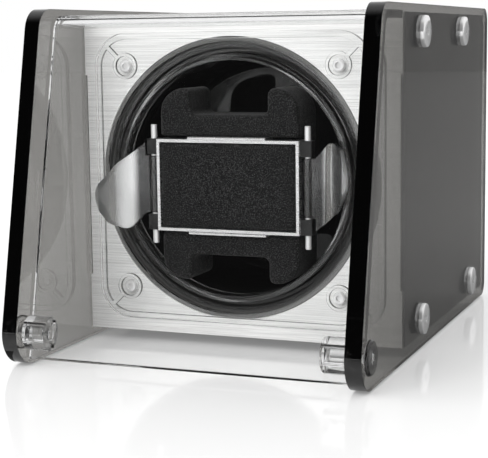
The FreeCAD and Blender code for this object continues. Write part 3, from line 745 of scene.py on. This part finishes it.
def pad_mesh(low, high, crown, edge):
    """Crowned slab: a front skin that rolls over its edge, straight sides and a flat back."""
    columns = 96
    rows = 60
    skin = bmesh.new()
    front = []
    for j in range(rows + 1):
        line = []
        for i in range(columns + 1):
            x = low[0] + (high[0] - low[0]) * 0.5 * (1 - math.cos(math.pi * i / columns))
            z = low[2] + (high[2] - low[2]) * 0.5 * (1 - math.cos(math.pi * j / rows))
            inset = min(x - low[0], high[0] - x, z - low[2], high[2] - z)
            roll = 0.0
            if inset < edge:
                roll = edge - math.sqrt(max(0.0, edge * edge - (edge - inset) ** 2))
            across = (2 * i / columns - 1) ** 4
            up = (2 * j / rows - 1) ** 4
            drop = crown * (1 - (1 - across) * (1 - up))
            line.append(skin.verts.new((x, low[1] + roll + drop, z)))
        front.append(line)
    for j in range(rows):
        for i in range(columns):
            skin.faces.new((front[j][i], front[j][i + 1], front[j + 1][i + 1], front[j + 1][i]))
    right = [line[-1] for line in front[1:]]
    left = [line[0] for line in front[-2:0:-1]]
    loop = front[0] + right + front[-1][-2::-1] + left
    back = [skin.verts.new((v.co.x, high[1], v.co.z)) for v in loop]
    for k in range(len(loop)):
        n = (k + 1) % len(loop)
        skin.faces.new((loop[k], back[k], back[n], loop[n]))
    skin.faces.new(list(reversed(back)))
    bmesh.ops.recalc_face_normals(skin, faces=skin.faces)
    return mesh_of(skin, "front_pad_skin")


class WINDER_OT_pads(bpy.types.Operator):
    """Cover the front pad and the rear cushion in suede"""
    bl_idname = "winder.pads"
    bl_label = "Suede Pads"

    def execute(self, context):
        low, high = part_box("front_pad")
        mesh = pad_mesh(low, high, sizes().pad_crown, sizes().pad_edge)
        smooth_by_angle(mesh, degrees=45)
        add_piece("front_pad_suede", mesh, black_suede(), "front_pad")
        shape = shown("rear_cushion_block", mesh_of(whole_skin("rear_cushion"), "rear_cushion_block"))
        remesh = shape.modifiers.new("Skin", "REMESH")
        remesh.mode = "VOXEL"
        remesh.voxel_size = sizes().cushion_voxel
        relax = shape.modifiers.new("Relax", "SMOOTH")
        relax.factor = 0.5
        relax.iterations = 5
        soft = plain_mesh(shape)
        smooth_by_angle(soft, degrees=180)
        soft.name = "rear_cushion_skin"
        add_piece("rear_cushion_suede", soft, black_suede(), "rear_cushion")
        return {"FINISHED"}


class WINDER_OT_wings(bpy.types.Operator):
    """Polish the clear squeeze wings"""
    bl_idname = "winder.wings"
    bl_label = "Wings"

    def execute(self, context):
        for node in ("wing_left", "wing_right"):
            eased(node, wing_plastic(), sizes().sheet_edge)
        return {"FINISHED"}


def socket_screw_mesh(name, radius, height, bevel, socket, depth, shank, grip):
    """One screw along +Z from its seat: bevelled head, hex socket and shank below."""
    sides = sizes().screw_sides
    skin = bmesh.new()
    turns = [2 * math.pi * k / sides for k in range(sides)]

    def ring(r, z):
        return [skin.verts.new((r * math.cos(turn), r * math.sin(turn), z)) for turn in turns]

    def hex_ring(width, z):
        line = []
        for turn in turns:
            off = (turn % (math.pi / 3)) - math.pi / 6
            r = width / 2 / math.cos(off)
            line.append(skin.verts.new((r * math.cos(turn), r * math.sin(turn), z)))
        return line

    lip = 0.12 * bevel
    loops = [
        ring(shank, -grip),
        ring(shank, 0),
        ring(radius - lip, 0),
        ring(radius, lip),
        ring(radius, height - bevel),
        ring(radius - 0.3 * bevel, height - 0.35 * bevel),
        ring(radius - bevel, height),
        ring(socket * 0.72, height),
        hex_ring(socket * 1.04, height - 0.05 * depth),
        hex_ring(socket, height - depth),
    ]
    for lower, upper in zip(loops, loops[1:]):
        for k in range(sides):
            n = (k + 1) % sides
            skin.faces.new((lower[k], lower[n], upper[n], upper[k]))
    skin.faces.new(list(reversed(loops[0])))
    skin.faces.new(loops[-1])
    bmesh.ops.recalc_face_normals(skin, faces=skin.faces)
    mesh = mesh_of(skin, name)
    smooth_by_angle(mesh, degrees=35)
    return mesh


def screw_tree():
    """Geometry Nodes tree that sets one screw, turned and with its finish, on every point."""
    name = "Winder screws"
    if name in bpy.data.node_groups:
        return bpy.data.node_groups[name]
    tree, entry, leave = named_tree(
        name, "GeometryNodeTree",
        {"Geometry": "Geometry", "Screw": "Object", "Facing": "Vector", "Turn": "Float",
         "Finish": "Material"},
        {"Geometry": "Geometry"})
    nodes = tree.nodes
    links = tree.links
    screw = nodes.new("GeometryNodeObjectInfo")
    align = nodes.new("FunctionNodeAlignRotationToVector")
    align.axis = "Z"
    index = nodes.new("GeometryNodeInputIndex")
    spin = number(tree, "MULTIPLY", index.outputs["Index"], entry.outputs["Turn"])
    about = nodes.new("FunctionNodeAxisAngleToRotation")
    about.inputs["Axis"].default_value = (0.0, 0.0, 1.0)
    both = nodes.new("FunctionNodeRotateRotation")
    both.rotation_space = "LOCAL"
    place = nodes.new("GeometryNodeInstanceOnPoints")
    real = nodes.new("GeometryNodeRealizeInstances")
    finish = nodes.new("GeometryNodeSetMaterial")
    links.new(entry.outputs["Screw"], screw.inputs["Object"])
    links.new(entry.outputs["Facing"], align.inputs["Vector"])
    links.new(spin, about.inputs["Angle"])
    links.new(align.outputs["Rotation"], both.inputs["Rotation"])
    links.new(about.outputs["Rotation"], both.inputs["Rotate By"])
    links.new(entry.outputs["Geometry"], place.inputs["Points"])
    links.new(screw.outputs["Geometry"], place.inputs["Instance"])
    links.new(both.outputs["Rotation"], place.inputs["Rotation"])
    links.new(place.outputs["Instances"], real.inputs["Geometry"])
    links.new(real.outputs["Geometry"], finish.inputs["Geometry"])
    links.new(entry.outputs["Finish"], finish.inputs["Material"])
    links.new(finish.outputs["Geometry"], leave.inputs["Geometry"])
    return tree


def solid_boxes(node):
    """Lowest and highest corner of each loose solid in a node."""
    skin = merged_skin(node)
    boxes = []
    seen = set()
    for start in skin.verts:
        if start in seen:
            continue
        group = [start]
        seen.add(start)
        for vert in group:
            for edge in vert.link_edges:
                other = edge.other_vert(vert)
                if other not in seen:
                    seen.add(other)
                    group.append(other)
        boxes.append([[pick(v.co[a] for v in group) for a in range(3)] for pick in (min, max)])
    skin.free()
    return sorted(boxes)


def set_screws(node, screw_mesh, facing, head_height, material):
    """Replaces a node of screws with one mesh of detailed screws at the same seats."""
    axis = Vector(facing)
    seats = []
    for low, high in solid_boxes(node):
        middle = (Vector(low) + Vector(high)) / 2
        for a in range(3):
            if axis[a] > 0:
                middle[a] = high[a] - head_height
            elif axis[a] < 0:
                middle[a] = low[a] + head_height
        seats.append(middle)
    points = bpy.data.meshes.new(node + "_seats")
    points.from_pydata([tuple(seat) for seat in seats], [], [])
    holder = shown(node + "_seats", points)
    pattern = shown(node + "_pattern", screw_mesh)
    tree = screw_tree()
    modifier = holder.modifiers.new("Screws", "NODES")
    modifier.node_group = tree
    keys = {item.name: item.identifier for item in tree.interface.items_tree if item.in_out == "INPUT"}
    modifier[keys["Screw"]] = pattern
    modifier[keys["Facing"]] = tuple(axis)
    modifier[keys["Turn"]] = SCREW_TURN
    modifier[keys["Finish"]] = material
    mesh = plain_mesh(holder)
    bpy.data.objects.remove(pattern)
    mesh.name = node + "_set"
    add_piece(node + "_set", mesh, material, node)


class WINDER_OT_screws(bpy.types.Operator):
    """Set the panel screws, hinge pins, bezel screws and rear screws"""
    bl_idname = "winder.screws"
    bl_label = "Screws and Pins"

    def execute(self, context):
        disc_head = 1.7 * MM
        small_head = 1.5 * MM
        disc = socket_screw_mesh(
            "disc_screw", radius=6.0 * MM, height=disc_head, bevel=0.6 * MM, socket=2.5 * MM, depth=1.1 * MM,
            shank=2.0 * MM, grip=13.0 * MM)
        small = {"radius": 2.4 * MM, "height": small_head, "bevel": 0.75 * MM, "socket": 2.0 * MM,
                 "depth": 0.9 * MM, "shank": 1.5 * MM}
        button = socket_screw_mesh("button_screw", grip=4.5 * MM, **small)
        rear = socket_screw_mesh("rear_screw", grip=8.0 * MM, **small)
        set_screws("panel_screws_left", disc, (-1.0, 0.0, 0.0), disc_head, polished_metal())
        set_screws("panel_screws_right", disc, (1.0, 0.0, 0.0), disc_head, polished_metal())
        set_screws("bezel_screws", button, (0.0, -1.0, 0.0), small_head, satin_chrome())
        set_screws("rear_cover_screws", rear, (0.0, 1.0, 0.0), small_head, steel())
        for node in ("hinge_pin_left", "hinge_pin_right"):
            eased(node, clear_moulding(), sizes().trim_edge)
        return {"FINISHED"}


class WINDER_OT_rear(bpy.types.Operator):
    """Finish the rear cover and its controls"""
    bl_idname = "winder.rear"
    bl_label = "Rear Cover and Controls"

    def execute(self, context):
        eased("rear_cover", satin_black(), sizes().trim_edge)
        eased("turns_knob", satin_black(), sizes().trim_edge)
        eased("direction_switch", satin_black(), sizes().trim_edge)
        dressed("power_jack", satin_black())
        dressed("switch_housing", satin_black())
        return {"FINISHED"}


class WINDER_OT_drive(bpy.types.Operator):
    """Finish the motor, gears, shaft and board inside"""
    bl_idname = "winder.drive"
    bl_label = "Drive Inside"

    def execute(self, context):
        for node in ("motor", "motor_bracket", "motor_screws", "rotor_shaft", "gear_clip", "board_spacers"):
            dressed(node, steel())
        for node in ("rotor_gear", "motor_pinion"):
            dressed(node, pale_plastic())
        for node in ("bulkhead", "selector_body"):
            dressed(node, satin_black())
        dressed("shaft_bushes", bronze())
        dressed("control_board", board_lacquer())
        return {"FINISHED"}


def softbox(name, place, size, power):
    """A square lamp aimed at the box, kept out of shines and clear sheets."""
    lamp = bpy.data.lights.new(name, "AREA")
    lamp.shape = "RECTANGLE"
    lamp.size = size
    lamp.size_y = size
    lamp.energy = power
    holder = shown(name, lamp)
    holder.location = place
    holder.rotation_euler = (Vector(LAMP_AIM) - Vector(place)).to_track_quat("-Z", "Y").to_euler()
    holder.visible_glossy = False
    holder.visible_transmission = False


def shown_to_eye(tree):
    """One where a ray comes from the camera, a gloss or a clear sheet, with no matt surface on its way."""
    path = tree.nodes.new("ShaderNodeLightPath").outputs
    direct = number(tree, "MAXIMUM", path["Is Camera Ray"], path["Is Glossy Ray"])
    clear = number(tree, "MAXIMUM", direct, path["Is Transmission Ray"])
    unspread = number(tree, "LESS_THAN", path["Diffuse Depth"], 0.5)
    return number(tree, "MULTIPLY", clear, unspread)


class WINDER_OT_stage(bpy.types.Operator):
    """Set the white floor, the studio light and the camera"""
    bl_idname = "winder.stage"
    bl_label = "Stage"

    def execute(self, context):
        scene = context.scene
        scene.view_settings.view_transform = "Standard"
        self.world(scene)
        self.floor()
        self.flag()
        softbox("Front softbox", (-0.3, -1.05, 0.7), size=0.8, power=9.0)
        softbox("Left softbox", (-0.9, -0.5, 0.6), size=0.6, power=3.0)
        self.camera(scene)
        return {"FINISHED"}

    def world(self, scene):
        """White to the eye, with a soft dark room in front that only shines and clear sheets show."""
        room_towards = Vector((-0.36, -0.89, 0.27)).normalized()
        room_level = 0.04
        matt_level = 1.05
        world = bpy.data.worlds.new("Studio")
        scene.world = world
        world.use_nodes = True
        tree = world.node_tree
        back = tree.nodes["Background"]
        back.inputs["Color"].default_value = WHITE
        facing = measured(tree, "DOT_PRODUCT", placed_at(tree), room_towards)
        room = ranged(tree, facing, start=0.3, end=0.85, low=1.0, high=room_level)
        path = tree.nodes.new("ShaderNodeLightPath").outputs
        level = tree.nodes.new("ShaderNodeMix")
        level.inputs["A"].default_value = matt_level
        tree.links.new(number(tree, "MAXIMUM", room, path["Is Camera Ray"]), level.inputs["B"])
        tree.links.new(shown_to_eye(tree), level.inputs["Factor"])
        tree.links.new(level.outputs["Result"], back.inputs["Strength"])

    def floor(self):
        """White table, glossy near the box and plain white farther off."""
        half = 4.0
        drop = 0.4 * MM
        gloss_reach = 0.2
        gloss_end = 0.6
        skin = bmesh.new()
        bmesh.ops.create_grid(skin, x_segments=1, y_segments=1, size=half)
        floor = shown("Floor", mesh_of(skin, "Floor"))
        floor.location = (0.0, 0.0, -drop)
        finish = Finish("White floor", (0.68, 0.68, 0.68), roughness=0.08)
        finish.set(**{"Emission Color": WHITE})
        tree = finish.tree
        away = measured(tree, "LENGTH", placed_at(tree))
        shine = ranged(tree, away, gloss_reach, gloss_end, low=0.4, high=0.0)
        glow = ranged(tree, away, gloss_reach, gloss_end, low=0.2, high=0.32)
        finish.link(shine, finish.shader.inputs["Specular IOR Level"])
        lift = number(tree, "MULTIPLY", shown_to_eye(tree), glow)
        finish.link(lift, finish.shader.inputs["Emission Strength"])
        floor.data.materials.append(finish.material)

    def flag(self):
        """Dark cards beside the box that only shines from above show, so the side panels stay dark."""
        near = 0.068
        far = 3.0
        front = -0.1
        back = 3.9
        height = 0.2 * MM
        top = 0.35
        spots = []
        faces = []
        for side in (-1.0, 1.0):
            first = len(spots)
            for y, z in ((front, height), (back, height), (back, top)):
                spots.append((side * near, y, z))
                spots.append((side * far, y, z))
            for row in (first, first + 2):
                face = (row, row + 1, row + 3, row + 2)
                faces.append(face if side > 0.0 else face[::-1])
        mesh = bpy.data.meshes.new("Flag")
        mesh.from_pydata(spots, [], faces)
        flag = shown("Flag", mesh)
        finish = Finish("Dark card", (0.16, 0.16, 0.16), roughness=1.0)
        under = finish.tree.nodes.new("ShaderNodeNewGeometry").outputs["Backfacing"]
        finish.link(number(finish.tree, "SUBTRACT", 1.0, under), finish.shader.inputs["Alpha"])
        mesh.materials.append(finish.material)
        flag.visible_camera = False
        flag.visible_diffuse = False
        flag.visible_transmission = False
        flag.visible_shadow = False

    def camera(self, scene):
        """The view, fitted to the corners of the box."""
        place = (0.19273, -0.51831, 0.11833)
        yaw = math.radians(21.55)
        pitch = math.radians(7.99)
        roll = math.radians(-0.76)
        data = bpy.data.cameras.new("Camera")
        data.sensor_fit = "HORIZONTAL"
        data.sensor_width = 36.0
        data.lens = 100.34
        camera = shown("Camera", data)
        reach = math.cos(pitch)
        ahead = Vector((-math.sin(yaw) * reach, math.cos(yaw) * reach, -math.sin(pitch)))
        level = Vector((math.cos(yaw), math.sin(yaw), 0.0))
        lift = level.cross(ahead)
        right = math.cos(roll) * level + math.sin(roll) * lift
        up = math.cos(roll) * lift - math.sin(roll) * level
        turn = Matrix((right, up, -ahead)).transposed()
        camera.matrix_world = Matrix.Translation(place) @ turn.to_4x4()
        scene.camera = camera


OPERATORS = (
    WINDER_OT_panels,
    WINDER_OT_cover,
    WINDER_OT_front,
    WINDER_OT_rotor,
    WINDER_OT_holder,
    WINDER_OT_pads,
    WINDER_OT_wings,
    WINDER_OT_screws,
    WINDER_OT_rear,
    WINDER_OT_drive,
    WINDER_OT_stage,
)


class WINDER_PT_pieces(bpy.types.Panel):
    """Lists the winder's sizes, colours and steps"""
    bl_idname = "WINDER_PT_pieces"
    bl_label = "Watch Winder Box"
    bl_space_type = "VIEW_3D"
    bl_region_type = "UI"
    bl_category = "Winder"

    def draw(self, context):
        for group in (context.scene.winder_sizes, context.scene.winder_colours):
            box = self.layout.box()
            for name in group.bl_rna.properties.keys():
                if name not in ("rna_type", "name"):
                    box.prop(group, name)
        for operator in OPERATORS:
            self.layout.operator(operator.bl_idname)


CLASSES = (WinderSizes, WinderColours) + OPERATORS + (WINDER_PT_pieces,)


def register():
    for cls in CLASSES:
        bpy.utils.register_class(cls)
    bpy.types.Scene.winder_sizes = bpy.props.PointerProperty(type=WinderSizes)
    bpy.types.Scene.winder_colours = bpy.props.PointerProperty(type=WinderColours)


def unregister():
    del bpy.types.Scene.winder_colours
    del bpy.types.Scene.winder_sizes
    for cls in reversed(CLASSES):
        bpy.utils.unregister_class(cls)


def main():
    register()
    bpy.ops.winder.panels()
    bpy.ops.winder.cover()
    bpy.ops.winder.front()
    bpy.ops.winder.rotor()
    bpy.ops.winder.holder()
    bpy.ops.winder.pads()
    bpy.ops.winder.wings()
    bpy.ops.winder.screws()
    bpy.ops.winder.rear()
    bpy.ops.winder.drive()
    bpy.ops.winder.stage()


if __name__ == "__main__":
    main()
